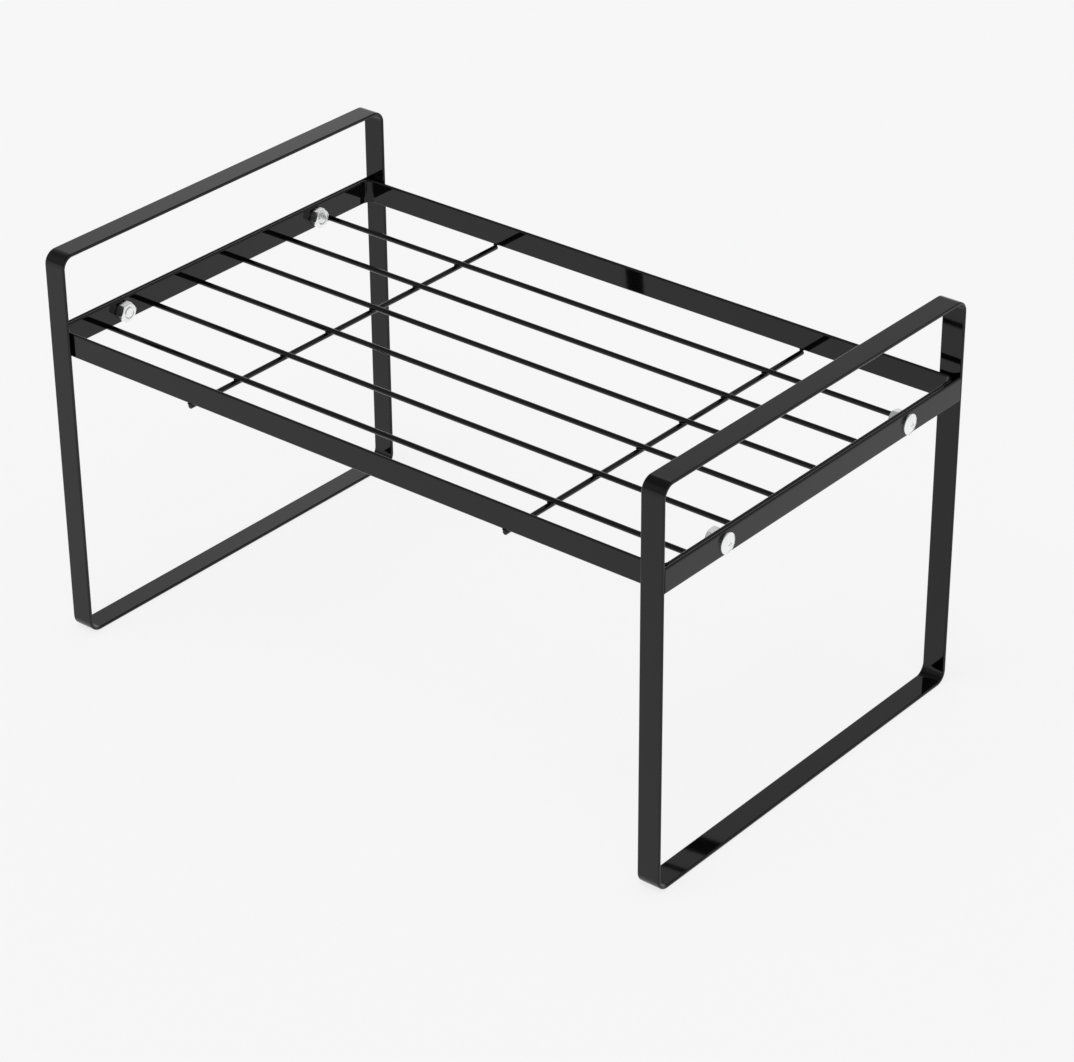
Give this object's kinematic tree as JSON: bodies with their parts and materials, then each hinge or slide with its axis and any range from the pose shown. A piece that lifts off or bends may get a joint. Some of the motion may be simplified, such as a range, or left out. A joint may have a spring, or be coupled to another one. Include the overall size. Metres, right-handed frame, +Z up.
{
  "type": "countertop organizer rack",
  "caption": "Raised wire shelf in a flat-strip rim, bolted between two bent strip loops that are its legs and handles.",
  "frame": {"origin": "centre of the footprint, on the surface the rack stands on", "axes": "+X along the rack to its right end, -Y to its front, +Z up"},
  "size_m": [0.3344, 0.205, 0.185],
  "materials": {
    "gloss_black_paint": "smooth glossy black paint that mirrors its surroundings",
    "bright_chrome": "bright plated steel"
  },
  "bodies": {
    "root": {"left_side_frame": "gloss_black_paint", "right_side_frame": "gloss_black_paint", "left_crossbar": "gloss_black_paint", "right_crossbar": "gloss_black_paint", "shelf_rim": "gloss_black_paint", "long_wire_1": "gloss_black_paint", "long_wire_2": "gloss_black_paint", "long_wire_3": "gloss_black_paint", "long_wire_4": "gloss_black_paint", "long_wire_5": "gloss_black_paint", "long_wire_6": "gloss_black_paint", "left_cross_wire": "gloss_black_paint", "right_cross_wire": "gloss_black_paint", "left_front_bolt": "bright_chrome", "left_front_nut": "bright_chrome", "left_back_bolt": "bright_chrome", "left_back_nut": "bright_chrome", "right_front_bolt": "bright_chrome", "right_front_nut": "bright_chrome", "right_back_bolt": "bright_chrome", "right_back_nut": "bright_chrome"}
  },
  "joints": []
}
